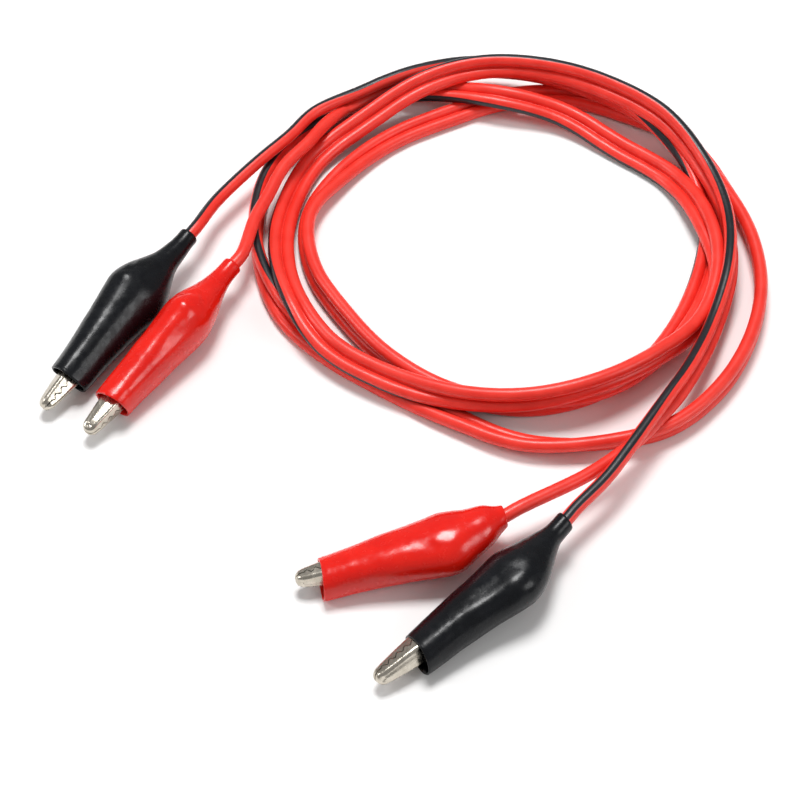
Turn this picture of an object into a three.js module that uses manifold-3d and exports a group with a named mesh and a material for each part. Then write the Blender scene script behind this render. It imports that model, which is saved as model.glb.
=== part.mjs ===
// Twin test lead with four booted alligator clips. Millimetres, +Z up, lying on the plane z = 0.
import * as THREE from 'three';
import Module from 'manifold-3d';
import { mergeVertices } from 'three/addons/utils/BufferGeometryUtils.js';

// Cord
const coreRadius = 1.1;
const cordSides = 8;
const cordSteps = 68;
const facing = 0.3;

// Clip metalwork, in a clip's own frame: +X to the tip, Y along the hinge, the hinge at the origin
const tipX = 17;
const sheet = 0.45;
const biteGap = 0.2;
const toothHeight = 0.35;
const toothPitch = 1.5;
const toothStart = 4.2;
const earHeight = 1.45;
const pinRadius = 0.7;
const pinHoleRadius = 0.95;
const pinHeadRadius = 1.1;
const pinReach = 3;
const fixedHalfWidth = 2.3;
const movingHalfWidth = 1.62;
const crimpX = -14.8;
const crimpZ = -1.1;
const crimpRadius = 1.2;
const springRadius = 1.35;
const springWire = 0.22;
const springTurns = 2.5;
const strandRadius = 0.7;
const noseDown = 5.5;

// One entry for each clip: where its hinge is, which way it points, how it has rolled over, its boot's two ends
const clips = [
  { name: 'far_black', at: [-33.25, 23.3, 4.1], heading: -122.8, roll: 47, mouth: 10, neck: -22, pvc: 0x23282f },
  { name: 'far_red', at: [-25.3, 17.9, 4.36], heading: -124.4, roll: 0, mouth: 10, neck: -23, pvc: 0xd8190f },
  { name: 'near_red', at: [15.6, -20.45, 4.03], heading: -165, roll: -80, mouth: 12, neck: -18.3, pvc: 0xd8190f },
  { name: 'near_black', at: [25.95, -30.95, 3.95], heading: -139.5, roll: -65, mouth: 10, neck: -21.6, pvc: 0x23282f },
];

// The twin cord's centre line, from the far split to the near one
const cordRoute = [
  [7, 78, 4.7], [17.5, 83.5, 5.2], [29, 87.5, 4.2], [40.5, 86, 4.6], [51.5, 80.5, 5.1], [60.5, 73, 4.9],
  [68, 63.5, 3.2], [70.5, 52, 1.6], [68.5, 40, 1.2], [64, 29, 1.6], [57, 19, 1.8], [47.5, 12, 2.2],
  [35.5, 10, 2.3], [24, 13, 2.3], [14, 20, 2.3], [6.5, 29.5, 2.3], [1, 40, 2.3], [0, 52, 2.2],
  [5.5, 62.5, 1.6], [14, 71.5, 1.2], [24.5, 77.5, 1.3], [35.5, 82, 1.4], [47.5, 82.5, 1.4], [58.5, 77.5, 1.5],
  [68, 70, 2], [73.5, 59, 2.1], [77, 47.5, 2.3], [77.5, 35.5, 2.3], [74.5, 24, 2.3], [68.5, 13.5, 2.3],
  [59.5, 5.5, 2.3], [47.5, 2.5, 2.1], [35.5, 3, 1.8], [25, 8, 1.5], [14.5, 14.5, 1.5], [4.5, 21.5, 1.6],
  [-3.5, 30, 2], [-8, 41, 2.3], [-9, 53.5, 2.3], [-6, 65, 2.3], [1, 74.5, 2.2], [10.5, 82, 1.4],
  [22, 82.5, 2.7], [34, 79.5, 4.4], [45.5, 76.5, 2.9], [55, 69.5, 1.7], [64, 61.5, 2], [68.5, 50.5, 4.1],
  [70, 38.5, 4.3], [66.5, 27, 3.8], [58.5, 18, 5.7], [48.5, 11.5, 6.6], [37, 8.5, 6], [25, 10, 4.7],
  [14, 14.5, 3.9], [4, 21.5, 4], [-2, 31.5, 4.9], [-4.5, 43.5, 3.4], [-3.5, 55.5, 1.5], [1, 66.5, 1.6],
  [10, 74.5, 3.6], [20, 81, 6.1], [31, 85, 6.6], [43, 83.5, 7.3], [53.5, 78, 8.2], [63, 70.5, 7.9],
  [69.5, 60.5, 5.8], [72.5, 49, 5.4], [72, 37, 5.8], [68.5, 25.5, 4.7], [63.5, 14.5, 5.6], [57, 4, 6.7],
];

// Each single core, from its clip's boot to the twin
const tailRoutes = {
  far_black: [[-16.2, 52, 5.7], [-12.5, 57.5, 5.6], [-8.5, 62.5, 5.8], [-3.7, 68.2, 5.8], [0.8, 74.2, 5.9], [5.9, 78.2, 5.8]],
  far_red: [[-9, 48, 6.1], [-7, 53.5, 5.9], [-4.5, 60.5, 5.8], [-0.4, 66.6, 5.6], [3.6, 73.6, 4.6], [6.7, 76.9, 3.6]],
  near_red: [[40, -10, 5.8], [45.5, -5.6, 5.5], [50.6, -2.3, 5.3], [54.3, 1.2, 5.1], [57.2, 3.5, 5.4]],
  near_black: [[46, -11.5, 6.5], [49.5, -6.8, 6.6], [53, -1.2, 7.2], [56.4, 4, 7.7]],
};

const wasm = await Module();
wasm.setup();

const group = new THREE.Group();
group.name = 'test_lead';

const finishes = {
  nickel: { color: 0xd9d4c8, roughness: 0.28, metalness: 1 },
  steel: { color: 0xa9a9a6, roughness: 0.35, metalness: 1 },
  copper: { color: 0xc77b4a, roughness: 0.4, metalness: 1 },
  cord: { color: 0xee3a30, roughness: 0.42, metalness: 0 },
};

function add(name, geometry, finish) {
  const mesh = new THREE.Mesh(geometry, new THREE.MeshStandardMaterial(finish));
  mesh.name = name;
  group.add(mesh);
}

function toSolid(geometry) {
  const bare = geometry.clone();
  bare.deleteAttribute('normal');
  bare.deleteAttribute('uv');
  const merged = mergeVertices(bare, 1e-5);
  const triVerts = new Uint32Array(merged.index.array);
  const vertProperties = new Float32Array(merged.attributes.position.array);
  return new wasm.Manifold(new wasm.Mesh({ numProp: 3, vertProperties, triVerts }));
}

function toGeometry(solid) {
  const mesh = solid.getMesh();
  const geometry = new THREE.BufferGeometry();
  geometry.setAttribute('position', new THREE.BufferAttribute(new Float32Array(mesh.vertProperties), 3));
  geometry.setIndex(new THREE.BufferAttribute(new Uint32Array(mesh.triVerts), 1));
  const flat = geometry.toNonIndexed();
  flat.computeVertexNormals();
  return flat;
}

function shapeOf(points) {
  return new THREE.Shape(points.map(([x, y]) => new THREE.Vector2(x, y)));
}

// A side view (x, z) given a width about y = 0
function fromSide(points, halfWidth) {
  const geometry = new THREE.ExtrudeGeometry(shapeOf(points), { depth: 2 * halfWidth, bevelEnabled: false });
  return toSolid(geometry.rotateX(Math.PI / 2).translate(0, halfWidth, 0));
}

// A plan (x, half width) given a height about z = 0
function fromPlan(rows, inset) {
  const near = rows.map(([x, w]) => [x, w - inset]);
  const far = rows.map(([x, w]) => [x, inset - w]).reverse();
  const geometry = new THREE.ExtrudeGeometry(shapeOf([...near, ...far]), { depth: 12, bevelEnabled: false });
  return toSolid(geometry.translate(0, 0, -6));
}

function tube(points, radius, sides, steps) {
  const curve = new THREE.CatmullRomCurve3(points.map((p) => new THREE.Vector3(...p)));
  const ring = new THREE.Shape();
  ring.absarc(0, 0, radius, 0, 2 * Math.PI);
  return new THREE.ExtrudeGeometry(ring, { steps, extrudePath: curve, curveSegments: sides / 2, bevelEnabled: false });
}

// The toothed edge, as (x, z) from the tip back to the first tooth
function teeth(side) {
  const rows = [];
  const count = Math.floor((tipX - 0.6 - toothStart) / (toothPitch / 2));
  for (let i = count; i >= 0; i -= 1) {
    const wave = i % 2 === 0 ? toothHeight : -toothHeight;
    rows.push([toothStart + i * toothPitch / 2, side * wave - biteGap]);
  }
  return rows;
}

// One jaw, drawn below the bite; side is +1 for the wire's jaw and -1 for the thumb's, which is then turned over
function jaw(side, lever, leverBack, plan) {
  const outline = [
    [tipX, -0.45], [tipX - 0.15, -0.85], [tipX - 0.6, -1.08], [10, -1.7], [4.5, -2.12], [-2.5, -2.42],
    ...lever, ...leverBack,
    [-2, -1], [-1.6, 0.4], [-1.25, 1], [-0.5, earHeight], [0.5, earHeight], [1.25, 1], [1.6, 0.4],
    [2.2, -0.3], [3.4, -0.75], ...teeth(side).reverse(),
  ];
  const hollow = [
    [tipX - 0.55, 3], [tipX - 0.55, -0.62], [10, -1.7 + sheet], [4.5, -2.12 + sheet], [-2.5, -2.42 + sheet],
    [-5, -2.42 + sheet], [-5, 3],
  ];
  const body = fromSide(outline, 4).intersect(fromPlan(plan, 0));
  const channel = fromSide(hollow, 4).intersect(fromPlan(plan, sheet));
  const bore = toSolid(new THREE.CylinderGeometry(pinHoleRadius, pinHoleRadius, 8, 20));
  const cut = body.subtract(channel).subtract(bore);
  return side > 0 ? cut : cut.mirror([0, 0, 1]);
}

function fixedJaw() {
  const lever = [[-6, -2.85], [-9, -3.35], [-11, -2.95], [-12.4, -2.3], [crimpX - 0.2, -2.3]];
  const back = [[crimpX - 0.2, -1.85], [-12.25, -1.85], [-10.85, -2.5], [-9, -2.87], [-6, -2.38], [-3.4, -1.9]];
  const plan = [
    [tipX + 0.1, 0.95], [tipX - 0.6, 1.15], [10, 1.6], [5, 1.95], [2.6, 2.25], [1.8, fixedHalfWidth],
    [-3, fixedHalfWidth], [-6, 2.1], [-10.5, 1.9], [-12.2, 0.85], [-16, 0.85],
  ];
  const ring = new THREE.Shape();
  ring.absarc(0, 0, crimpRadius, -0.25 * Math.PI, 1.2 * Math.PI, true);
  ring.absarc(0, 0, crimpRadius - sheet + 0.05, 1.2 * Math.PI, -0.25 * Math.PI, false);
  const wrap = new THREE.ExtrudeGeometry(ring, { depth: 2.3, curveSegments: 5, bevelEnabled: false });
  wrap.rotateX(Math.PI / 2).rotateZ(Math.PI / 2).translate(crimpX, 0, crimpZ);
  return jaw(1, lever, back, plan).add(toSolid(wrap));
}

function movingJaw() {
  const lever = [[-6, -2.85], [-9, -3.35], [-10.8, -3.2]];
  const back = [[-10.8, -2.75], [-9, -2.9], [-6, -2.38], [-3.4, -1.9]];
  const plan = [
    [tipX + 0.1, 0.95], [tipX - 0.6, 1.15], [10, 1.6], [5, 1.8], [2.6, movingHalfWidth],
    [-6, movingHalfWidth], [-9.8, 1.7], [-11, 1.2],
  ];
  return jaw(-1, lever, back, plan);
}

function hingePin() {
  const half = [[0, pinReach], [pinHeadRadius, pinReach], [pinHeadRadius, pinReach - 0.35], [pinRadius, pinReach - 0.35]];
  const rows = [...half, ...half.map(([r, y]) => [r, -y]).reverse()].reverse();
  return new THREE.LatheGeometry(rows.map(([r, y]) => new THREE.Vector2(r, y)), 12);
}

function torsionSpring() {
  const halfSpan = 0.3 * springTurns;
  const points = [[-7, halfSpan, 2.1], [-3.2, halfSpan, 1.72], [-1, halfSpan, 1.42]];
  const turns = Math.round(springTurns * 10);
  for (let i = 0; i <= turns; i += 1) {
    const angle = Math.PI / 2 - i * 2 * Math.PI / 10;
    const y = halfSpan * (1 - 2 * i / turns);
    points.push([springRadius * Math.cos(angle), y, springRadius * Math.sin(angle)]);
  }
  points.push([-1, -halfSpan, -1.42], [-3.2, -halfSpan, -1.72], [-7, -halfSpan, -2.1]);
  return tube(points, springWire, 6, 42);
}

// The boot is turned, then narrowed across the hinge and pushed over towards the thumb's lever, by its outer radius
function boot(mouth, neck) {
  const outer = [
    [neck, 1.72], [neck + 1.6, 1.78], [-15.8, 3.1], [-13.8, 4.15], [-11.3, 5.1], [-9, 5.4], [-6.5, 5.2],
    [-3, 4.75], [1, 4.25], [5, 3.8], [mouth - 0.4, 3.4], [mouth, 3.3],
  ];
  const inner = [
    [mouth, 2.9], [5, 3.4], [1, 3.85], [-3, 4.35], [-6.5, 4.8], [-9, 5], [-11.3, 4.7], [-13.8, 3.75],
    [-15.6, 2.75], [neck + 1.4, 1.4], [neck, 1.4],
  ];
  const rows = [...outer, ...inner, outer[0]];
  const geometry = new THREE.LatheGeometry(rows.map(([x, r]) => new THREE.Vector2(r, x)), 16);
  geometry.rotateZ(-Math.PI / 2);
  const spots = geometry.getAttribute('position');
  for (let i = 0; i < spots.count; i += 1) {
    const x = spots.getX(i);
    const next = outer.findIndex(([end]) => end >= x - 1e-6);
    const [x1, r1] = outer[next];
    const [x0, r0] = outer[Math.max(next - 1, 0)];
    const radius = x1 > x0 ? r0 + (r1 - r0) * (x - x0) / (x1 - x0) : r1;
    const fat = Math.max(radius - 1.72, 0);
    spots.setY(i, spots.getY(i) * (1.72 + 0.72 * fat) / (1.72 + fat));
    spots.setZ(i, spots.getZ(i) + 0.13 * Math.max(radius - 3.4, 0) * (x < mouth - 1 ? 1 : 0));
  }
  return geometry;
}

for (const clip of clips) {
  const place = new THREE.Matrix4().makeTranslation(...clip.at);
  place.multiply(new THREE.Matrix4().makeRotationZ(THREE.MathUtils.degToRad(clip.heading)));
  place.multiply(new THREE.Matrix4().makeRotationY(THREE.MathUtils.degToRad(noseDown)));
  place.multiply(new THREE.Matrix4().makeRotationX(THREE.MathUtils.degToRad(clip.roll)));
  const strands = [
    [clip.neck + 0.4, 0, 0], [-17.2, 0, -0.1], [-16.2, 0, -0.6], [crimpX - 0.3, 0, crimpZ], [crimpX + 2.6, 0, crimpZ],
  ];
  const pvc = { color: clip.pvc, roughness: 0.25, metalness: 0 };
  const pieces = [
    ['fixed_jaw', toGeometry(fixedJaw()), finishes.nickel],
    ['moving_jaw', toGeometry(movingJaw()), finishes.nickel],
    ['hinge_pin', hingePin(), finishes.steel],
    ['torsion_spring', torsionSpring(), finishes.steel],
    ['boot', boot(clip.mouth, clip.neck), pvc],
    ['conductor', tube(strands, strandRadius, 8, 8), finishes.copper],
  ];
  for (const [piece, geometry, finish] of pieces) {
    add(`${clip.name}_${piece}`, geometry.applyMatrix4(place), finish);
  }
  const neckEnd = new THREE.Vector3(clip.neck - facing, 0, 0).applyMatrix4(place);
  const straight = new THREE.Vector3(clip.neck - facing - 2.5, 0, 0).applyMatrix4(place);
  const route = [neckEnd.toArray(), straight.toArray(), ...tailRoutes[clip.name]];
  add(`${clip.name}_tail`, tube(route, coreRadius, cordSides, 5), finishes.cord);
}

add('zip_cord', tube(cordRoute, coreRadius, cordSides, cordSteps), finishes.cord);

export default group;
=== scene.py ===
import math

import bmesh
import bpy
from mathutils import Matrix, Vector, noise


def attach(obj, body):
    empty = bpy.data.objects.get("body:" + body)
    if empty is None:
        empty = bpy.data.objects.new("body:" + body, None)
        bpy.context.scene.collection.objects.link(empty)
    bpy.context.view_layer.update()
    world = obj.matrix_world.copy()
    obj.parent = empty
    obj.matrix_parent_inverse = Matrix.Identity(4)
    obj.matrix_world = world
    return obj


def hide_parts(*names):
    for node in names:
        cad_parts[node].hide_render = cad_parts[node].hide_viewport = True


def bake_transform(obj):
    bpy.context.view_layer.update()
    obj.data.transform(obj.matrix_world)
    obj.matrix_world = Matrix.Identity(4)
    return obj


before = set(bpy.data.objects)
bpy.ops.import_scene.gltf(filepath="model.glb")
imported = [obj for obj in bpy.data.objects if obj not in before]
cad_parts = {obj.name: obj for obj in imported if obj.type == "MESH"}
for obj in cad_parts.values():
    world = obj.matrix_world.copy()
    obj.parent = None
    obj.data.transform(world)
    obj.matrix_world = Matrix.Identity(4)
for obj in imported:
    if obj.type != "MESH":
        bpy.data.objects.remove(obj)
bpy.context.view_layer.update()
mm = 0.001

# Camera

viewpoint = {
    "target": (0.016, 0.013, 0.0),
    "distance": 0.3666,
    "elevation": 52.0,
    "lens": 100.0,
}


def makeCamera(view):
    data = bpy.data.cameras.new("camera")
    data.lens = view["lens"]
    data.sensor_width = 36.0
    data.clip_start = 0.01
    camera = bpy.data.objects.new("camera", data)
    tilt = math.radians(view["elevation"])
    back = Vector((0, -math.cos(tilt), math.sin(tilt))) * view["distance"]
    camera.location = Vector(view["target"]) + back
    camera.rotation_euler = (math.pi / 2 - tilt, 0, 0)
    bpy.context.collection.objects.link(camera)
    bpy.context.scene.camera = camera


makeCamera(viewpoint)

# The clips' places, the same as in the CAD

# "bend" is the neck's shift (along the hinge, along the levers)
# "metal" is how the clip sits in its boot: a shift in mm, then its turns in degrees about the hinge and
# about the levers' direction
noseDown = 5.5
clips = {
    "far_black": {"at": (-33.25, 23.3, 4.1), "heading": -122.8, "roll": 47, "boot": "black",
                  "mouth": 10, "neck": -24.3, "bend": (0, 0), "metal": (0, 0, 0, 0, 0)},
    "far_red": {"at": (-25.3, 17.9, 4.36), "heading": -124.4, "roll": 0, "boot": "red",
                "mouth": 10, "neck": -23, "bend": (0, 0), "metal": (0, 0, 0, 0, 0)},
    "near_red": {"at": (15.6, -20.45, 4.03), "heading": -165, "roll": -80, "boot": "red",
                 "mouth": 12.3, "neck": -17.7, "bend": (-0.3, -1.5), "metal": (-0.45, 0, 0, 1.0, -1.2)},
    "near_black": {"at": (25.95, -30.95, 3.95), "heading": -139.5, "roll": -65, "boot": "black",
                   "mouth": 10, "neck": -22, "bend": (-0.65, -1.4), "metal": (0.9, 0, 0, 1.0, -1.5)},
}


def placeOf(clip):
    turn = Matrix.Rotation(math.radians(clip["heading"]), 4, "Z")
    tip = Matrix.Rotation(math.radians(noseDown), 4, "Y")
    roll = Matrix.Rotation(math.radians(clip["roll"]), 4, "X")
    return Matrix.Translation(Vector(clip["at"]) * mm) @ turn @ tip @ roll


def metalPlace(clip):
    x, y, z, pitch, yaw = clip["metal"]
    turn = Matrix.Rotation(math.radians(pitch), 4, "Y") @ Matrix.Rotation(math.radians(yaw), 4, "Z")
    return placeOf(clip) @ Matrix.Translation(Vector((x, y, z)) * mm) @ turn


# Small helpers


def newObject(name, mesh, materials=()):
    piece = bpy.data.objects.new(name, mesh)
    bpy.context.collection.objects.link(piece)
    for material in materials:
        mesh.materials.append(material)
    return piece


def meshFrom(name, points, faces):
    mesh = bpy.data.meshes.new(name)
    mesh.from_pydata([tuple(p) for p in points], [], faces)
    mesh.validate()
    mesh.update()
    mesh.polygons.foreach_set("use_smooth", [True] * len(mesh.polygons))
    return mesh


def finishPiece(piece, body, node):
    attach(piece, body)
    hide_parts(node)


def mix(a, b, t):
    return a + (b - a) * t


def ease(t):
    t = min(max(t, 0.0), 1.0)
    return t * t * (3 - 2 * t)


def tableValue(rows, x):
    # smooth value of a short table of (x, value), with x rising
    if x <= rows[0][0]:
        return rows[0][1]
    for i in range(len(rows) - 1):
        (x0, v0), (x1, v1) = rows[i], rows[i + 1]
        if x <= x1:
            before = rows[i - 1] if i > 0 else rows[i]
            after = rows[i + 2] if i + 2 < len(rows) else rows[i + 1]
            m0 = (v1 - before[1]) / (x1 - before[0]) * (x1 - x0)
            m1 = (after[1] - v0) / (after[0] - x0) * (x1 - x0)
            t = (x - x0) / (x1 - x0)
            return ((2 * t**3 - 3 * t * t + 1) * v0 + (t**3 - 2 * t * t + t) * m0
                    + (3 * t * t - 2 * t**3) * v1 + (t**3 - t * t) * m1)
    return rows[-1][1]


def smoothRoute(rows, step):
    # centripetal curve through the rows' first three numbers, resampled evenly; further numbers ride along
    fine = []
    count = len(rows)
    rows = [tuple(r) for r in rows]
    first = tuple(2 * a - b for a, b in zip(rows[0], rows[1]))
    last = tuple(2 * a - b for a, b in zip(rows[-1], rows[-2]))
    full = [first, *rows, last]
    for i in range(1, count):
        p0, p1, p2, p3 = full[i - 1: i + 3]
        spans = ((p0, p1), (p1, p2), (p2, p3))
        t0, t1, t2 = (max(math.sqrt(math.dist(a[:3], b[:3])), 1e-6) for a, b in spans)
        for k in range(20):
            t = k / 20
            h = (2 * t**3 - 3 * t * t + 1, t**3 - 2 * t * t + t, 3 * t * t - 2 * t**3, t**3 - t * t)
            point = []
            for a, b, c, d in zip(p0, p1, p2, p3):
                m1 = ((b - a) / t0 - (c - a) / (t0 + t1) + (c - b) / t1) * t1
                m2 = ((c - b) / t1 - (d - b) / (t1 + t2) + (d - c) / t2) * t1
                point.append(h[0] * b + h[1] * m1 + h[2] * c + h[3] * m2)
            fine.append(tuple(point))
    fine.append(rows[-1])
    along = [0.0]
    for a, b in zip(fine, fine[1:]):
        along.append(along[-1] + math.dist(a[:3], b[:3]))
    steps = max(2, round(along[-1] / step))
    result, j = [], 0
    for k in range(steps + 1):
        s = along[-1] * k / steps
        while j < len(along) - 2 and along[j + 1] < s:
            j += 1
        t = (s - along[j]) / max(along[j + 1] - along[j], 1e-12)
        result.append(tuple(mix(a, b, min(max(t, 0), 1)) for a, b in zip(fine[j], fine[j + 1])))
    return result


# Geometry Nodes helpers


class NodeTree:
    def __init__(self, name, inputs):
        self.tree = bpy.data.node_groups.new(name, "GeometryNodeTree")
        face = self.tree.interface
        face.new_socket("Geometry", in_out="INPUT", socket_type="NodeSocketGeometry")
        self.keys = {}
        for label, (kind, value) in inputs.items():
            socket = face.new_socket(label, in_out="INPUT", socket_type=kind)
            if value is not None:
                socket.default_value = value
            self.keys[label] = socket.identifier
        face.new_socket("Geometry", in_out="OUTPUT", socket_type="NodeSocketGeometry")
        self.start = self.tree.nodes.new("NodeGroupInput")
        self.end = self.tree.nodes.new("NodeGroupOutput")

    def node(self, kind, links=(), **settings):
        made = self.tree.nodes.new(kind)
        for key, value in settings.items():
            setattr(made, key, value)
        for key, value in dict(links).items():
            self.put(made.inputs[key], value)
        return made

    def put(self, socket, value):
        if isinstance(value, bpy.types.NodeSocket):
            self.tree.links.new(value, socket)
        else:
            socket.default_value = value

    def given(self, label):
        return self.start.outputs[label]

    def finish(self, geometry):
        self.put(self.end.inputs["Geometry"], geometry)

    def bake(self, piece, name, **values):
        # runs the tree on the piece and returns a plain object with the result
        modifier = piece.modifiers.new(self.tree.name, "NODES")
        modifier.node_group = self.tree
        for label, value in values.items():
            modifier[self.keys[label]] = value
        evaluated = piece.evaluated_get(bpy.context.evaluated_depsgraph_get())
        mesh = bpy.data.meshes.new_from_object(evaluated)
        mesh.name = name
        bpy.data.objects.remove(piece)
        made = bpy.data.objects.new(name, mesh)
        bpy.context.collection.objects.link(made)
        return made


def sweepTree():
    # sweeps a round section along the mesh's edges; "outward" turns the section, "fromOutward" says how far
    # round it a point is, from 0 at the outward side to 1 at the inward one
    t = NodeTree("roundSweep", {
        "Radius": ("NodeSocketFloat", 0.001),
        "Sides": ("NodeSocketInt", 24),
        "Material": ("NodeSocketMaterial", None),
    })
    line = t.node("GeometryNodeMeshToCurve", {0: t.given("Geometry")})
    outward = t.node("GeometryNodeInputNamedAttribute", {"Name": "outward"}, data_type="FLOAT_VECTOR")
    turned = t.node("GeometryNodeSetCurveNormal", {"Curve": line.outputs[0]}, mode="FREE")
    t.put(turned.inputs["Normal"], outward.outputs["Attribute"])
    ring = t.node("GeometryNodeCurvePrimitiveCircle", {
        "Resolution": t.given("Sides"), "Radius": t.given("Radius")})
    around = t.node("GeometryNodeSplineParameter")
    value = around.outputs["Factor"]
    for step, number in (("MULTIPLY", 2.0), ("SUBTRACT", 1.0), ("ABSOLUTE", None)):
        terms = {0: value} if number is None else {0: value, 1: number}
        value = t.node("ShaderNodeMath", terms, operation=step).outputs[0]
    value = t.node("ShaderNodeMath", {0: 1.0, 1: value}, operation="SUBTRACT").outputs[0]
    kept = t.node("GeometryNodeStoreNamedAttribute", {"Geometry": ring.outputs[0], "Name": "fromOutward"},
                  data_type="FLOAT", domain="POINT")
    t.put(kept.inputs["Value"], value)
    tube = t.node("GeometryNodeCurveToMesh", {"Curve": turned.outputs[0], "Profile Curve": kept.outputs[0],
                                              "Fill Caps": True})
    shaded = t.node("GeometryNodeSetShadeSmooth", {"Geometry": tube.outputs[0]})
    painted = t.node("GeometryNodeSetMaterial", {
        "Geometry": shaded.outputs[0], "Material": t.given("Material")})
    real = t.node("GeometryNodeRealizeInstances", {"Geometry": painted.outputs[0]})
    t.finish(real.outputs[0])
    return t


# Materials

def makeMaterial(name, **values):
    material = bpy.data.materials.new(name)
    material.use_nodes = True
    shader = material.node_tree.nodes["Principled BSDF"]
    for key, value in values.items():
        shader.inputs[key].default_value = value
    return material, material.node_tree, shader


def noiseOn(tree, scale, detail=3.0, roughness=0.5, stretch=None):
    place = tree.nodes.new("ShaderNodeTexCoord")
    source = place.outputs["Object"]
    if stretch:
        mapping = tree.nodes.new("ShaderNodeMapping")
        mapping.inputs["Scale"].default_value = stretch
        tree.links.new(source, mapping.inputs["Vector"])
        source = mapping.outputs["Vector"]
    texture = tree.nodes.new("ShaderNodeTexNoise")
    texture.inputs["Scale"].default_value = scale
    texture.inputs["Detail"].default_value = detail
    texture.inputs["Roughness"].default_value = roughness
    tree.links.new(source, texture.inputs["Vector"])
    return texture.outputs["Fac"]


def rampOn(tree, source, stops):
    # two stops of (position, colour)
    ramp = tree.nodes.new("ShaderNodeValToRGB")
    for element, (position, colour) in zip(ramp.color_ramp.elements, stops):
        element.position = position
        element.color = (*colour, 1)
    tree.links.new(source, ramp.inputs["Fac"])
    return ramp.outputs["Color"]


def rangeOn(tree, source, low, high, fromLow=0.3, fromHigh=0.7):
    spread = tree.nodes.new("ShaderNodeMapRange")
    for key, value in (("From Min", fromLow), ("From Max", fromHigh), ("To Min", low), ("To Max", high)):
        spread.inputs[key].default_value = value
    tree.links.new(source, spread.inputs["Value"])
    return spread.outputs["Result"]


def bumpOn(tree, shader, sources):
    # each source is (height, distance in metres)
    last = None
    for height, distance in sources:
        bump = tree.nodes.new("ShaderNodeBump")
        bump.inputs["Strength"].default_value = 1.0
        bump.inputs["Distance"].default_value = distance
        tree.links.new(height, bump.inputs["Height"])
        if last:
            tree.links.new(last, bump.inputs["Normal"])
        last = bump.outputs["Normal"]
    tree.links.new(last, shader.inputs["Normal"])


cordFinish = {
    "red": ((0.78, 0.030, 0.018), (0.86, 0.043, 0.028)),
    "black": (0.006, 0.007, 0.011),
    "roughness": 0.36,
    "stripeHalf": 0.2,
}


def cordMaterial(name, striped):
    material, tree, shader = makeMaterial(name, **{
        "Specular IOR Level": 0.4, "Coat Weight": 0.08, "Coat Roughness": 0.2, "Subsurface Weight": 0.08,
        "Subsurface Radius": (1.0, 0.12, 0.08), "Subsurface Scale": 0.0012})
    colour = rampOn(tree, noiseOn(tree, 260.0), [(0.35, cordFinish["red"][0]), (0.65, cordFinish["red"][1])])
    if striped:
        away = tree.nodes.new("ShaderNodeAttribute")
        away.attribute_name = "fromOutward"
        wander = tree.nodes.new("ShaderNodeMath")
        wander.operation = "MULTIPLY_ADD"
        wander.inputs[1].default_value = 0.02
        tree.links.new(noiseOn(tree, 900.0), wander.inputs[0])
        tree.links.new(away.outputs["Fac"], wander.inputs[2])
        half = cordFinish["stripeHalf"] + 0.01
        edge = rangeOn(tree, wander.outputs[0], 1.0, 0.0, half - 0.012, half + 0.012)
        blend = tree.nodes.new("ShaderNodeMix")
        blend.data_type = "RGBA"
        blend.inputs["B"].default_value = (*cordFinish["black"], 1)
        tree.links.new(edge, blend.inputs["Factor"])
        tree.links.new(colour, blend.inputs["A"])
        colour = blend.outputs["Result"]
    tree.links.new(colour, shader.inputs["Base Color"])
    rough = cordFinish["roughness"]
    dulled = rangeOn(tree, noiseOn(tree, 1400.0), rough - 0.05, rough + 0.07)
    tree.links.new(dulled, shader.inputs["Roughness"])
    bumpOn(tree, shader, [(noiseOn(tree, 500.0, 2.0), 0.00003), (noiseOn(tree, 3500.0, 4.0), 0.000012)])
    return material


bootFinish = {
    "red": {"dark": (0.68, 0.006, 0.002), "light": (0.80, 0.012, 0.004), "roughness": 0.21,
            "scatter": 0.12, "specular": 0.38, "coat": 0.12},
    "black": {"dark": (0.002, 0.0024, 0.0034), "light": (0.0048, 0.0058, 0.008), "roughness": 0.26,
              "scatter": 0.0, "specular": 0.24, "coat": 0.05},
}


def bootMaterial(colourName):
    given = bootFinish[colourName]
    material, tree, shader = makeMaterial(f"bootPvc_{colourName}", **{
        "Specular IOR Level": given["specular"], "Coat Weight": given["coat"], "Coat Roughness": 0.12,
        "Subsurface Weight": given["scatter"], "Subsurface Radius": (1.0, 0.08, 0.05),
        "Subsurface Scale": 0.0015})
    mottle = rampOn(tree, noiseOn(tree, 180.0, 4.0), [(0.32, given["dark"]), (0.68, given["light"])])
    tree.links.new(mottle, shader.inputs["Base Color"])
    rough = given["roughness"]
    dulled = rangeOn(tree, noiseOn(tree, 900.0, 4.0), rough - 0.06, rough + 0.09)
    tree.links.new(dulled, shader.inputs["Roughness"])
    bumpOn(tree, shader, [(noiseOn(tree, 220.0, 2.0), 0.00004), (noiseOn(tree, 2600.0, 3.0), 0.000012)])
    return material


def metalMaterial(name, dark, light, roughness, grain=0.000012):
    material, tree, shader = makeMaterial(name, Metallic=1.0)
    stained = rampOn(tree, noiseOn(tree, 700.0, 4.0), [(0.3, dark), (0.7, light)])
    tree.links.new(stained, shader.inputs["Base Color"])
    scratches = noiseOn(tree, 1500.0, 5.0, 0.6, (1.0, 0.25, 1.0))
    tree.links.new(rangeOn(tree, scratches, roughness - 0.06, roughness + 0.1), shader.inputs["Roughness"])
    bumpOn(tree, shader, [(noiseOn(tree, 350.0, 2.0), 0.00005), (noiseOn(tree, 4000.0, 3.0), grain)])
    return material


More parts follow.
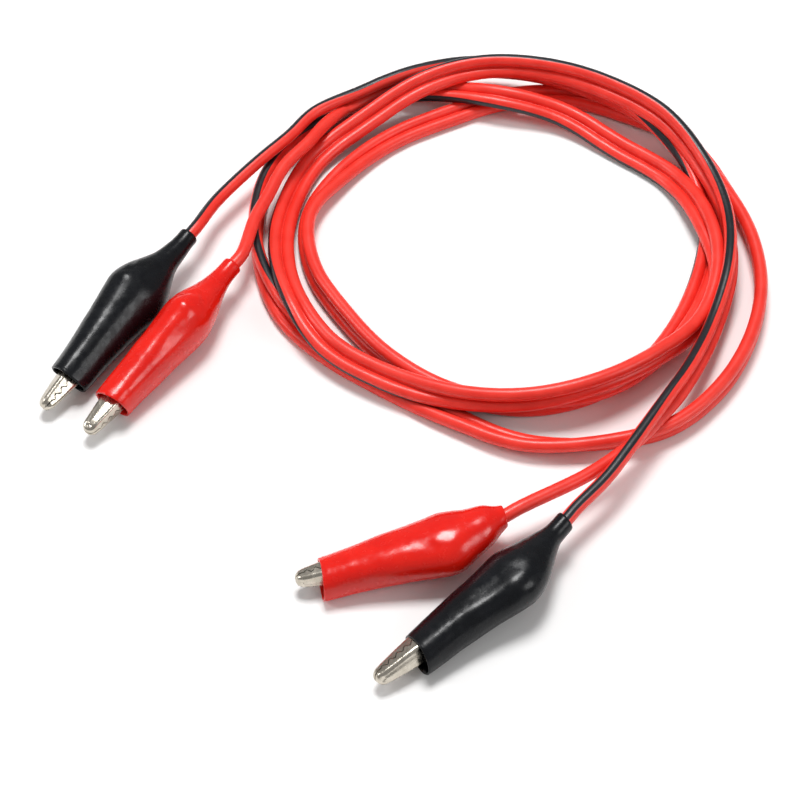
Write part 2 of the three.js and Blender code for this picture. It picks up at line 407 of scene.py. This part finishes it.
plainCord = cordMaterial("cordPvc_plain", False)
stripedCord = cordMaterial("cordPvc_striped", True)
bootPvc = {name: bootMaterial(name) for name in bootFinish}
nickel = metalMaterial("nickelPlate", (0.50, 0.455, 0.38), (0.66, 0.61, 0.53), 0.22)
springSteel = metalMaterial("springSteel", (0.42, 0.42, 0.41), (0.60, 0.60, 0.58), 0.28)
copper = metalMaterial("bareCopper", (0.62, 0.28, 0.14), (0.83, 0.45, 0.26), 0.3)
print("materials made")

# The twin cord: (x, y, z) in metres and the striped core's side in degrees,
# 0 to the coil's outside, 90 up, 180 to the inside, 270 down

cord = {
    "coreRadius": 1.12 * mm,
    "halfTwin": 1.15 * mm,
    "sides": 24,
    "step": 1.2 * mm,
    "webHalfWidth": 0.75 * mm,
    "webHalfThickness": 0.3 * mm,
    "intoBoot": 1.6,
    "route": [
        (0.007, 0.078, 0.0047, 80), (0.0175, 0.0835, 0.0052, 76), (0.029, 0.0875, 0.0042, 80),
        (0.0405, 0.086, 0.0046, 84), (0.0515, 0.0805, 0.0051, 92), (0.0605, 0.073, 0.0049, 125),
        (0.068, 0.0635, 0.0032, 165), (0.0705, 0.052, 0.0016, 195), (0.0685, 0.04, 0.0012, 175),
        (0.064, 0.029, 0.0016, 205), (0.057, 0.019, 0.0018, 215), (0.0475, 0.012, 0.0022, 240),
        (0.0355, 0.01, 0.0023, 270), (0.024, 0.013, 0.0023, 265), (0.014, 0.02, 0.0023, 275),
        (0.0065, 0.0295, 0.0023, 285), (0.001, 0.04, 0.0023, 285), (0, 0.052, 0.0022, 295),
        (0.0055, 0.0625, 0.0016, 340), (0.014, 0.0715, 0.0012, 360), (0.0245, 0.0775, 0.0013, 366),
        (0.0355, 0.082, 0.0014, 369), (0.0475, 0.0825, 0.0014, 369), (0.0585, 0.0775, 0.0015, 345),
        (0.068, 0.07, 0.002, 315), (0.0735, 0.059, 0.0021, 300), (0.077, 0.0475, 0.0023, 285),
        (0.0775, 0.0355, 0.0023, 275), (0.0745, 0.024, 0.0023, 270), (0.0685, 0.0135, 0.0023, 270),
        (0.0595, 0.0055, 0.0023, 260), (0.0475, 0.0025, 0.0021, 240), (0.0355, 0.003, 0.0018, 215),
        (0.025, 0.008, 0.0015, 200), (0.0145, 0.0145, 0.0015, 160), (0.0045, 0.0215, 0.0016, 155),
        (-0.0035, 0.03, 0.002, 130), (-0.008, 0.041, 0.0023, 95), (-0.009, 0.0535, 0.0023, 80),
        (-0.006, 0.065, 0.0023, 85), (0.001, 0.0745, 0.0022, 115), (0.0105, 0.082, 0.0014, 168),
        (0.022, 0.0825, 0.0027, 170), (0.034, 0.0795, 0.0044, 195), (0.0455, 0.0765, 0.0029, 198),
        (0.055, 0.0695, 0.0017, 205), (0.064, 0.0615, 0.002, 215), (0.0685, 0.0505, 0.0041, 225),
        (0.07, 0.0385, 0.0043, 265), (0.0665, 0.027, 0.0038, 280), (0.0585, 0.018, 0.0057, 275),
        (0.0485, 0.0115, 0.0066, 270), (0.037, 0.0085, 0.006, 280), (0.025, 0.01, 0.0047, 290),
        (0.014, 0.0145, 0.0039, 330), (0.004, 0.0215, 0.004, 340), (-0.002, 0.0315, 0.0049, 380),
        (-0.0045, 0.0435, 0.0034, 370), (-0.0035, 0.0555, 0.0015, 370), (0.001, 0.0665, 0.0016, 375),
        (0.01, 0.0745, 0.0036, 390), (0.02, 0.081, 0.0061, 400), (0.031, 0.085, 0.0066, 425),
        (0.043, 0.0835, 0.0073, 432), (0.0535, 0.078, 0.0082, 425), (0.063, 0.0705, 0.0079, 428),
        (0.0695, 0.0605, 0.0058, 438), (0.0725, 0.049, 0.0054, 450), (0.072, 0.037, 0.0058, 465),
        (0.0685, 0.0255, 0.0047, 470), (0.0635, 0.0145, 0.0056, 470), (0.057, 0.004, 0.0067, 470),
    ],
}

# each single core from its boot to the twin, and which way its stripe looks
tails = {
    "far_black": {"stripe": (-0.45, 0.35, 0.82), "route": [
        (-0.0162, 0.052, 0.0057), (-0.0125, 0.0575, 0.0056), (-0.0085, 0.0625, 0.0058),
        (-0.0037, 0.0682, 0.0058), (0.0008, 0.0742, 0.0059)]},
    "far_red": {"stripe": (0.3, -0.3, 0.9), "route": [
        (-0.009, 0.048, 0.0061), (-0.007, 0.0535, 0.0059), (-0.0045, 0.0605, 0.0058),
        (-0.0004, 0.0666, 0.0056), (0.0036, 0.0736, 0.0046)]},
    "near_red": {"stripe": (0.2, -0.3, 0.9), "route": [
        (0.0452, -0.0066, 0.0056), (0.0506, -0.0023, 0.0053), (0.0543, 0.0012, 0.0051)]},
    "near_black": {"stripe": (-0.1, -0.15, 0.98), "route": [
        (0.0484, -0.0077, 0.0067), (0.053, -0.0012, 0.0072)]},
}


def acrossOf(points, i):
    # the level direction to the left of the route
    a, b = points[max(i - 1, 0)], points[min(i + 1, len(points) - 1)]
    along = Vector((b[0] - a[0], b[1] - a[1], 0)).normalized()
    return Vector((-along.y, along.x, 0))


def twinRows():
    # centre, and the unit vector from it to the striped core
    centre = smoothRoute(cord["route"], cord["step"])
    rows = []
    for i, (x, y, z, roll) in enumerate(centre):
        angle = math.radians(roll)
        toStriped = acrossOf(centre, i) * math.cos(angle) + Vector((0, 0, 1)) * math.sin(angle)
        rows.append((Vector((x, y, z)), toStriped))
    return rows


def neckSpot(clip, x):
    # the middle of the boot near its neck, bent the way the cord pulls it, in mm
    t = max(0.0, (-6 - x) / (-6 - clip["neck"])) ** 2
    bendY, bendZ = clip["bend"]
    return Vector((x, t * bendY, t * bendZ))


def tailRows(name):
    clip = clips[name]
    place = placeOf(clip)
    stripe = Vector(tails[name]["stripe"]).normalized()
    starts = [place @ (neckSpot(clip, clip["neck"] + d) * mm) for d in (cord["intoBoot"], 0, -2.6)]
    points = [tuple(p) for p in starts] + tails[name]["route"]
    return [(*p, *stripe) for p in points]


def coreRows(farClip, nearClip, side, twin):
    # the whole of one core: out of a boot, along the twin and into the other boot
    middle = []
    for centre, toStriped in twin[2:-2:4]:
        point = centre + toStriped * side * cord["halfTwin"]
        point.z = max(point.z, cord["coreRadius"])
        middle.append((*point, *(toStriped * side)))
    rows = tailRows(farClip) + middle + tailRows(nearClip)[::-1]
    return smoothRoute(rows, cord["step"])


def pathPiece(name, lines):
    # edges for the sweep; each line is rows of a point and its outward direction
    points, edges, outward = [], [], []
    for line in lines:
        base = len(points)
        for i, row in enumerate(line):
            point = Vector(row[:3])
            ahead = Vector(line[min(i + 1, len(line) - 1)][:3]) - Vector(line[max(i - 1, 0)][:3])
            side = Vector(row[3:6])
            side -= ahead.normalized() * side.dot(ahead.normalized())
            points.append(point)
            outward.extend(side.normalized())
        edges += [(base + i, base + i + 1) for i in range(len(line) - 1)]
    mesh = bpy.data.meshes.new(name)
    mesh.from_pydata(points, edges, [])
    mesh.attributes.new("outward", "FLOAT_VECTOR", "POINT").data.foreach_set("vector", outward)
    return newObject(name, mesh)


def sweep(name, lines, radius, sides, material):
    piece = pathPiece(name + "_path", lines)
    return roundSweep.bake(piece, name, Radius=radius, Sides=sides, Material=material)


def webMesh(twin):
    # the thin skin that joins the two cores, torn off thin at both splits
    points, faces = [], []
    rows = twin[3:-3]
    for i, (centre, toStriped) in enumerate(rows):
        ahead = rows[min(i + 1, len(rows) - 1)][0] - rows[max(i - 1, 0)][0]
        up = ahead.normalized().cross(toStriped).normalized()
        torn = min(1.0, 0.25 + min(i, len(rows) - 1 - i) * 0.25)
        wide, thick = cord["webHalfWidth"], cord["webHalfThickness"] * torn
        for a, b in ((1, 1), (-1, 1), (-1, -1), (1, -1)):
            points.append(centre + toStriped * a * wide + up * b * thick)
        if i:
            k = 4 * i
            faces += [(k + j - 4, k + (j + 1) % 4 - 4, k + (j + 1) % 4, k + j) for j in range(4)]
    k = 4 * (len(rows) - 1)
    faces += [(3, 2, 1, 0), (k, k + 1, k + 2, k + 3)]
    return meshFrom("web", points, faces)


def joinInto(piece, mesh, material):
    # adds the mesh to the piece as one more part of it
    other = newObject("joining", mesh, [material])
    bpy.ops.object.select_all(action="DESELECT")
    other.select_set(True)
    piece.select_set(True)
    bpy.context.view_layer.objects.active = piece
    bpy.ops.object.join()


def lengthOf(rows):
    return sum(math.dist(a[:3], b[:3]) for a, b in zip(rows, rows[1:]))


roundSweep = sweepTree()
twin = twinRows()
cores = {
    "cord_core_striped": ("far_black", "near_black", 1, stripedCord),
    "cord_core_plain": ("far_red", "near_red", -1, plainCord),
}
for name, (farClip, nearClip, side, material) in cores.items():
    rows = coreRows(farClip, nearClip, side, twin)
    core = sweep(name, [rows], cord["coreRadius"], cord["sides"], material)
    if side < 0:
        joinInto(core, webMesh(twin), plainCord)
    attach(core, "lead")
    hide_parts("zip_cord", farClip + "_tail", nearClip + "_tail")
    print(name, "length", round(lengthOf(rows), 4))

# Boots: thin soft shells. Sections are (x, half width along the hinge, half height along the levers) in mm,
# x from the hinge towards the tip; the neck's end and the mouth are each clip's own

bootShape = {
    "wall": 0.4,
    "neckBore": 1.22,
    "around": 96,
    "along": 150,
    "neckRows": [(0, 1.66, 1.66), (1.7, 1.68, 1.68), (3.4, 1.82, 1.86)],
    "body": [(-17.6, 2.2, 2.4), (-15.6, 2.75, 3.2), (-13.4, 3.4, 4.3), (-11.2, 3.95, 5.2), (-9.2, 4.15, 5.6),
             (-6.8, 4.02, 5.3), (-3, 3.75, 4.7), (1, 3.5, 4.15), (5, 3.22, 3.72)],
    "mouth": (3.0, 3.4),
    # rounded rims: (shift along x, share of the wall's thickness); the lip is in mm
    "rim": [(0.02, 0.05), (0.09, 0.25), (0.11, 0.5), (0.08, 0.8)],
    "neckRim": [(0.05, 1), (-0.06, 0.75), (-0.08, 0.4)],
    "neckLip": (-0.02, 0.05),
}

# "spread" scales the lever height, "slide" moves the bulge along, "collar" replaces neckRows, "bow" shifts
# the middle of the boot
# (along the hinge, along the levers), "lip" shifts the mouth the same way, "slant" cuts it at an angle;
# dents are (x, degrees round from the hinge's side, length, width, depth, turn in degrees)
bootLooks = {
    "far_black": {"spread": 0.95, "slide": 0, "bow": (0.1, 0.35), "lip": (0.25, -0.1),
                  "slant": (0.5, 0.3), "dents": [
        (-11.5, 55, 1.7, 0.5, 0.16, 40), (-13.5, 20, 2.6, 0.6, 0.14, 15), (-12.8, 75, 1.6, 0.45, 0.12, -30),
        (-6, 350, 5.0, 1.8, 0.12, 4), (-9.3, 60, 1.3, 1.4, -0.2, 0)]},
    "far_red": {"spread": 0.85, "slide": 0, "bow": (0.4, 0.1), "lip": (0.1, -0.1),
                "slant": (-0.3, 0.5), "dents": [
        (-9.6, 88, 1.2, 2.0, -0.25, 0), (-12, 100, 2.6, 0.55, 0.2, 55), (-12.6, 65, 2.4, 0.5, 0.18, -40),
        (-15, 80, 2.2, 0.6, 0.12, 10), (-4.5, 55, 4.2, 1.1, 0.2, 6), (-5.5, 120, 4.5, 1.2, 0.18, -5),
        (8.3, 40, 0.5, 1.2, 0.08, 20)]},
    "near_red": {"spread": 1.0, "slide": 1.5, "collar": [(0, 1.74, 1.78), (1.1, 2.1, 2.25), (3.0, 2.9, 3.4)],
                 "bow": (0.3, 0.35), "lip": (0.5, 0.3), "slant": (0.5, 0.2), "dents": [
        (-7.5, 150, 1.0, 1.0, 0.09, 10), (-5.5, 138, 3.0, 1.0, 0.1, 20), (-12.5, 120, 2.6, 1.0, 0.07, -20),
        (-1, 190, 5.0, 1.8, 0.12, 0), (7, 95, 4.5, 1.8, 0.1, 5)]},
    "near_black": {"spread": 1.0, "slide": 0, "bow": (0.35, 0.4), "lip": (0.4, 0.25),
                   "slant": (0.6, 0.3), "dents": [
        (-9.4, 146, 2.8, 1.3, 0.16, 35), (-12.8, 118, 2.8, 1.0, 0.12, -20), (-7.4, 112, 1.2, 2.2, -0.2, 0),
        (-3.5, 150, 4.5, 1.3, 0.22, 5), (1.5, 95, 5.0, 1.5, 0.16, 0), (-15.4, 135, 2.2, 0.9, 0.1, 10)]},
}


def bootRows(clip, look):
    # (x, half width, half height) from the neck's end to the mouth
    neck, slide = clip["neck"], look["slide"]
    body = [(x + slide, w, mix(w, h, look["spread"])) for x, w, h in bootShape["body"]]
    collar = look.get("collar", bootShape["neckRows"])
    rows = [(neck + d, w, h) for d, w, h in collar if neck + d < -13.5]
    body = [row for row in body if row[0] > rows[-1][0] + 1.4]
    return rows + body + [(clip["mouth"], *bootShape["mouth"])]


def bootPoint(clip, look, x, angle, inset, rows):
    # a point of the shell's outside, or inside when inset is the wall
    widths = [(r[0], r[1]) for r in rows]
    heights = [(r[0], r[2]) for r in rows]
    neck, mouth = clip["neck"], clip["mouth"]
    half, high = tableValue(widths, x), tableValue(heights, x)
    toMouth = ease((x + 2) / (mouth + 2))
    toNeck = ease((x - neck - 2.5) / 7)
    bow = toNeck * (1 - ease((x + 7) / (mouth + 7)))
    bend = neckSpot(clip, x)
    shift = [bow * look["bow"][k] + toMouth * look["lip"][k] + bend[k + 1] for k in (0, 1)]
    c, s = math.cos(angle), math.sin(angle)
    power = mix(2.0, 2.35, ease((x + 6) / 12))
    scale = (abs(c / half) ** power + abs(s / high) ** power) ** (-1 / power)
    for x0, degrees, length, width, depth, turn in look["dents"]:
        around = (math.degrees(angle) - degrees + 180) % 360 - 180
        u, v = x - x0, math.radians(around) * scale
        t = math.radians(turn)
        a, b = u * math.cos(t) + v * math.sin(t), v * math.cos(t) - u * math.sin(t)
        scale -= depth * math.exp(-(a / length) ** 2 - (b / width) ** 2)
    seed = Vector((x * 0.22, c * 1.3 + 7 * clip["mouth"], s * 1.3))
    scale += 0.07 * noise.noise(seed) * toNeck + 0.018 * noise.noise(seed * 4) * toNeck
    scale -= inset
    if x > mouth - 0.6 and inset == 0:
        scale -= 0.05 * ease((x - mouth + 0.6) / 0.6)
    slant = toMouth * (look["slant"][0] * c + look["slant"][1] * s) * ease((x - mouth + 6) / 6)
    return Vector((x + slant, shift[0] + scale * c, shift[1] + scale * s)) * mm


def overFloor(point):
    # soft plastic lies flat where it meets the floor
    low, start = 0.12 * mm, 0.55 * mm
    if point.z < start:
        point.z = low + (start - low) * math.exp((point.z - start) / (start - low))
    return point


def bootMesh(name, clip, look):
    place = placeOf(clip)
    rows = bootRows(clip, look)
    neck, mouth = clip["neck"], clip["mouth"]
    along, around, wall = bootShape["along"], bootShape["around"], bootShape["wall"]
    neckWall = rows[0][1] - bootShape["neckBore"]
    profile = [(neck + (mouth - neck) * i / along, 0.0) for i in range(1, along)]
    profile += [(mouth + out, wall * deep) for out, deep in bootShape["rim"]]
    inner = along // 2
    profile += [(mouth - (mouth - neck) * i / inner, None) for i in range(0, inner)]
    profile += [(neck + out, neckWall * deep) for out, deep in bootShape["neckRim"]]
    out, inset = bootShape["neckLip"]
    profile.append((neck + out, inset))
    points = []
    for x, inset in profile:
        if inset is None:
            inset = mix(neckWall, wall, ease((x - neck - 1) / 6))
        for j in range(around):
            point = place @ bootPoint(clip, look, x, 2 * math.pi * j / around, inset, rows)
            points.append(overFloor(point))
    faces = []
    count = len(profile)
    for i in range(count):
        a, b = i * around, (i + 1) % count * around
        faces += [(a + j, a + (j + 1) % around, b + (j + 1) % around, b + j) for j in range(around)]
    return meshFrom(name, points, [face[::-1] for face in faces])


for name, clip in clips.items():
    mesh = bootMesh(name + "_boot", clip, bootLooks[name])
    boot = newObject(name + "_bootShell", mesh, [bootPvc[clip["boot"]]])
    place = placeOf(clip)
    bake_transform(boot)
    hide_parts(name + "_boot")
print("boots made")

# Jaws: pressed sheet, folded up at both sides and closed round the nose. Drawn for the wire's jaw, with
# the bite at z = 0 and the back below; the thumb's jaw is the same turned over, its waves in the other's gaps

jawShape = {
    "sheet": 0.45,
    "crimpSheet": 0.4,
    "nose": 15.45,
    "halfWidths": [(-3, 2.3), (1.6, 2.3), (2.6, 2.2), (5, 2.0), (10, 1.7), (15.45, 1.2)],
    "thumbHalfWidths": [(-3, 1.62), (1.6, 1.62), (2.6, 1.68), (5, 1.84), (10, 1.7), (15.45, 1.2)],
    "backs": [(-3, -2.42), (4.5, -2.12), (10, -1.7), (14.5, -1.32), (15.6, -1.15), (16.7, -0.9)],
    "edges": [(-3, -1.9), (-2, -1.0), (-1.6, 0.3), (-1.25, 0.95), (-0.6, 1.42), (0.6, 1.42), (1.25, 0.95),
              (1.6, 0.3), (2.2, -0.3), (3.4, -0.65), (4.2, -0.2)],
    "waves": (4.2, 15.4, 1.5, 0.33),
    "gap": 0.1,
    "round": 0.62,
}


def jawEdge(x, side):
    # height of the sheet's edge: ears at the hinge, then the waves of the bite
    first, last, pitch, height = jawShape["waves"]
    if x < first:
        rows = jawShape["edges"]
        for (x0, z0), (x1, z1) in zip(rows, rows[1:]):
            if x <= x1:
                return mix(z0, z1, (x - x0) / (x1 - x0))
    fade = ease((last - x) / 0.8) * ease((x - first) / 0.6)
    phase = (x - first) / pitch % 1
    triangle = 1 - abs(phase * 4 - 2)
    wave = math.copysign(abs(triangle) ** 0.8, triangle)
    return side * wave * height * fade - jawShape["gap"]


def jawColumns(rows, step):
    # points round the plan: up one side, round the nose and back, each with its foot on the middle line
    nose = jawShape["nose"]
    count = round((nose + 3) / step)
    side = [(-3 + (nose + 3) * i / count) for i in range(count)]
    columns = [((x, tableValue(rows, x)), (x, 0.0)) for x in side]
    radius = rows[-1][1]
    for i in range(25):
        turn = math.pi * i / 24
        columns.append(((nose + radius * math.sin(turn), radius * math.cos(turn)), (nose, 0.0)))
    return columns + [((x, -y), foot) for (x, y), foot in columns[:count][::-1]]


def jawMesh(name, side):
    rows = jawShape["halfWidths"] if side > 0 else jawShape["thumbHalfWidths"]
    columns = jawColumns(rows, 0.1)
    points, faces = [], []
    down, across = 8, 8
    for (x, y), (footX, footY) in columns:
        top = jawEdge(x, side)
        back = tableValue(jawShape["backs"], x)
        curve = min(jawShape["round"], 0.75 * (top - back))
        reach = math.dist((x, y), (footX, footY))
        toFoot = ((footX - x) / reach, (footY - y) / reach)
        strip = [(0.0, mix(top, back + curve, i / down)) for i in range(down)]
        strip += [(curve * (1 - math.cos(a)), back + curve * (1 - math.sin(a)))
                  for a in (math.pi / 2 * i / 8 for i in range(9))]
        strip += [(mix(curve, reach, i / across), back - 0.1 * ease(i / across))
                  for i in range(1, across + 1)]
        for inward, z in strip:
            draft = 0.05 * (z - back)
            points.append(Vector((x + toFoot[0] * inward, y + toFoot[1] * (inward - draft), z)))
        if len(points) > len(strip):
            k, n = len(points) - len(strip), len(strip)
            faces += [(k + i, k + i + 1, k - n + i + 1, k - n + i) for i in range(n - 1)]
    return meshFrom(name, points, faces)


def leverMesh(name, side):
    # the lever's flat strip behind the hinge, with low flanges; the wire's one runs on to the crimp
    line = [(-2.6, -2.42), (-6, -2.85), (-9, -3.35), (-10.8, -3.2)]
    widths = [(-10.9, 0.9), (-10.3, 1.5), (-9, 1.68), (-6, 1.66), (-2.6, 1.62)]
    if side > 0:
        line = line[:3] + [(-11, -2.95), (-12.4, -2.28), (-15.1, -2.28)]
        widths = [(-15.2, 0.8), (-12.2, 0.85), (-11, 1.6), (-9, 1.95), (-6, 2.1), (-2.6, 2.28)]
    points, faces = [], []
    steps = 60
    for i in range(steps + 1):
        x = mix(line[0][0], line[-1][0], i / steps)
        z = -tableValue([(a, -b) for a, b in line[::-1]], x)
        half = tableValue(widths, x)
        flange = 0.55 * ease((x + 12) / 2)
        for k in range(17):
            t = k / 8 - 1
            bend = max(0.0, (abs(t) - 0.7) / 0.3)
            across = half * math.copysign(min(abs(t) / 0.85, 1.0), t)
            points.append(Vector((x, across, z + flange * bend ** 2)))
        if i:
            a, b = 17 * i, 17 * (i - 1)
            faces += [(a + k, a + k + 1, b + k + 1, b + k) for k in range(16)]
    return meshFrom(name, points, faces)


def crimpMesh(name):
    # the barrel folded round the bare strands
    points, faces = [], []
    for i in range(13):
        x = mix(-15.0, -12.5, i / 12)
        for k in range(31):
            a = math.radians(mix(-232, 52, k / 30))
            flare = 1 + 0.1 * abs(i / 6 - 1) ** 4
            low = 1 if a < 0 else 0.82
            points.append(Vector((x, 1.0 * flare * math.cos(a), -1.1 + 1.0 * flare * low * math.sin(a))))
        if i:
            n = 31
            faces += [(n * i + k, n * i + k + 1, n * (i - 1) + k + 1, n * (i - 1) + k) for k in range(n - 1)]
    return meshFrom(name, points, faces)


def sheetPiece(name, mesh, side, place, thickness):
    # welds a folded sheet, gives it its thickness and bevels its edges, then puts it in place
    made = bmesh.new()
    made.from_mesh(mesh)
    bmesh.ops.remove_doubles(made, verts=made.verts, dist=1e-4)
    if side < 0:
        for v in made.verts:
            v.co.z = -v.co.z
        bmesh.ops.reverse_faces(made, faces=made.faces)
    for v in made.verts:
        v.co = v.co * mm
    made.to_mesh(mesh)
    made.free()
    piece = newObject(name, mesh, [nickel])
    wall = piece.modifiers.new("wall", "SOLIDIFY")
    wall.thickness = thickness
    wall.offset = -1
    edge = piece.modifiers.new("edge", "BEVEL")
    edge.width = 0.07 * mm
    edge.segments = 2
    edge.limit_method = "ANGLE"
    edge.angle_limit = math.radians(50)
    mesh = bpy.data.meshes.new_from_object(piece.evaluated_get(bpy.context.evaluated_depsgraph_get()))
    mesh.name = name
    mesh.transform(place)
    mesh.polygons.foreach_set("use_smooth", [True] * len(mesh.polygons))
    bpy.data.objects.remove(piece)
    return newObject(name, mesh)


# Hinge pins: riveted heads with a rounded rim. Rows are (radius, distance from the middle)

pinShape = {
    "sides": 40,
    "half": [(0, 2.8), (0.45, 2.79), (0.78, 2.73), (0.98, 2.63), (1.07, 2.53), (1.06, 2.44), (0.98, 2.4),
             (0.74, 2.38), (0.7, 2.34)],
}


def pinMesh(name, place):
    half = pinShape["half"]
    rows = half + [(0.7, 0.9 * (1 - i)) for i in (0, 1, 2)] + [(r, -y) for r, y in half[::-1]]
    sides = pinShape["sides"]
    points = [Vector((0, rows[0][1], 0))]
    for r, y in rows[1:-1]:
        for k in range(sides):
            a = 2 * math.pi * k / sides
            points.append(Vector((r * math.cos(a), y, r * math.sin(a))))
    points.append(Vector((0, rows[-1][1], 0)))
    last = len(points) - 1
    faces = [(0, 1 + (k + 1) % sides, 1 + k) for k in range(sides)]
    for i in range(len(rows) - 3):
        a, b = 1 + i * sides, 1 + (i + 1) * sides
        faces += [(a + k, a + (k + 1) % sides, b + (k + 1) % sides, b + k) for k in range(sides)]
    a = last - sides
    faces += [(last, a + k, a + (k + 1) % sides) for k in range(sides)]
    return meshFrom(name, [place @ (p * mm) for p in points], faces)


# Torsion springs: a coil on the pin with a leg under each lever

springShape = {"radius": 1.35, "wire": 0.22, "turns": 2.5, "halfSpan": 0.75}


def springRows(place):
    radius, turns, span = springShape["radius"], springShape["turns"], springShape["halfSpan"]
    points = [(-7.2, span, 2.25), (-6.6, span, 2.12), (-3.2, span, 1.72), (-1.2, span, 1.45)]
    count = round(turns * 24)
    for i in range(count + 1):
        angle = math.pi / 2 - i * 2 * math.pi / 24
        points.append((radius * math.cos(angle), span * (1 - 2 * i / count), radius * math.sin(angle)))
    points += [(-1.2, -span, -1.45), (-3.2, -span, -1.72), (-6.6, -span, -2.12), (-7.2, -span, -2.25)]
    rows = []
    for p in points:
        world = place @ (Vector(p) * mm)
        out = place.to_3x3() @ Vector((0.05, 1, 0.02))
        rows.append((*world, *out))
    return smoothRoute(rows, 0.15 * mm)


# Bared strands: six round one, twisted, from inside the cord's end into the crimp

strandShape = {"radius": 0.27, "circle": 0.5, "pitch": 11.0}


def strandLines(clip, place):
    neck = clip["neck"]
    starts = [tuple(neckSpot(clip, neck + d)) for d in (0.9, 2.0)]
    middle = smoothRoute(starts + [(-14.6, 0, -1.05), (-12.3, 0, -1.1)], 0.25)
    lines = []
    for strand in range(7):
        rows = []
        for i, (x, y, z) in enumerate(middle):
            angle = 2 * math.pi * (strand / 6 + (x - neck) / strandShape["pitch"])
            far = 0 if strand == 6 else strandShape["circle"]
            spot = Vector((x, y + far * math.cos(angle), z + far * math.sin(angle))) * mm
            out = Vector((0.01, math.cos(angle), math.sin(angle)))
            rows.append((*(place @ spot), *(place.to_3x3() @ out)))
        lines.append(rows)
    return lines


for name, clip in clips.items():
    place = metalPlace(clip)
    sheet = jawShape["sheet"] * mm
    wire = sheetPiece(name + "_wireJaw", jawMesh("wireJaw", 1), 1, place, sheet)
    lever = sheetPiece(name + "_wireLever", leverMesh("wireLever", 1), 1, place, sheet)
    crimp = sheetPiece(name + "_crimp", crimpMesh("crimp"), 1, place, jawShape["crimpSheet"] * mm)
    thumb = sheetPiece(name + "_thumbJaw", jawMesh("thumbJaw", -1), -1, place, sheet)
    thumbLever = sheetPiece(name + "_thumbLever", leverMesh("thumbLever", -1), -1, place, sheet)
    for piece in (wire, lever, crimp):
        finishPiece(piece, "lead", name + "_fixed_jaw")
    for piece in (thumb, thumbLever):
        finishPiece(piece, name + "_jaw", name + "_moving_jaw")
    pin = newObject(name + "_pin", pinMesh(name + "_pin", place), [springSteel])
    finishPiece(pin, "lead", name + "_hinge_pin")
    spring = sweep(name + "_spring", [springRows(place)], springShape["wire"] * mm, 10, springSteel)
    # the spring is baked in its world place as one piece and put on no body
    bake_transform(spring)
    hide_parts(name + "_torsion_spring")
    strands = sweep(name + "_strands", strandLines(clip, place), strandShape["radius"] * mm, 8, copper)
    finishPiece(strands, "lead", name + "_conductor")
print("clips made")

# Floor and light

studio = {
    "world": ((1.0, 0.995, 0.99), 0.33),
    "floor": (0.93, 0.925, 0.92),
    "lights": [
        # name, place, target, width, height, power in watts
        ("overhead", (0.0, 0.25, 0.7), (0.02, 0.02, 0), 0.24, 0.24, 4.4),
        ("left", (-0.65, 0.1, 0.4), (0, 0.02, 0), 0.12, 0.4, 1.5),
        ("right", (0.6, -0.2, 0.4), (0.02, 0.0, 0), 0.2, 0.3, 1.0),
    ],
}


def areaLight(name, place, target, width, height, power):
    data = bpy.data.lights.new(name, "AREA")
    data.shape = "RECTANGLE"
    data.size = width
    data.size_y = height
    data.energy = power
    light = bpy.data.objects.new(name, data)
    light.location = place
    light.rotation_euler = (Vector(target) - Vector(place)).to_track_quat("-Z", "Y").to_euler()
    bpy.context.collection.objects.link(light)


floorMaterial, floorTree, floorShader = makeMaterial("studioFloor", Roughness=0.9)
floorShader.inputs["Specular IOR Level"].default_value = 0.1
floorShader.inputs["Base Color"].default_value = (*studio["floor"], 1)
floorCorners = [(-1.5, -1.5, 0), (1.5, -1.5, 0), (1.5, 1.5, 0), (-1.5, 1.5, 0)]
floorMesh = meshFrom("floor", floorCorners, [(0, 1, 2, 3)])
floor = newObject("floor", floorMesh, [floorMaterial])
world = bpy.data.worlds.new("studio")
world.use_nodes = True
background = world.node_tree.nodes["Background"]
background.inputs["Color"].default_value = (*studio["world"][0], 1)
background.inputs["Strength"].default_value = studio["world"][1]
bpy.context.scene.world = world
for light in studio["lights"]:
    areaLight(*light)
bpy.context.scene.view_settings.view_transform = "Standard"
bpy.context.scene.view_settings.look = "None"
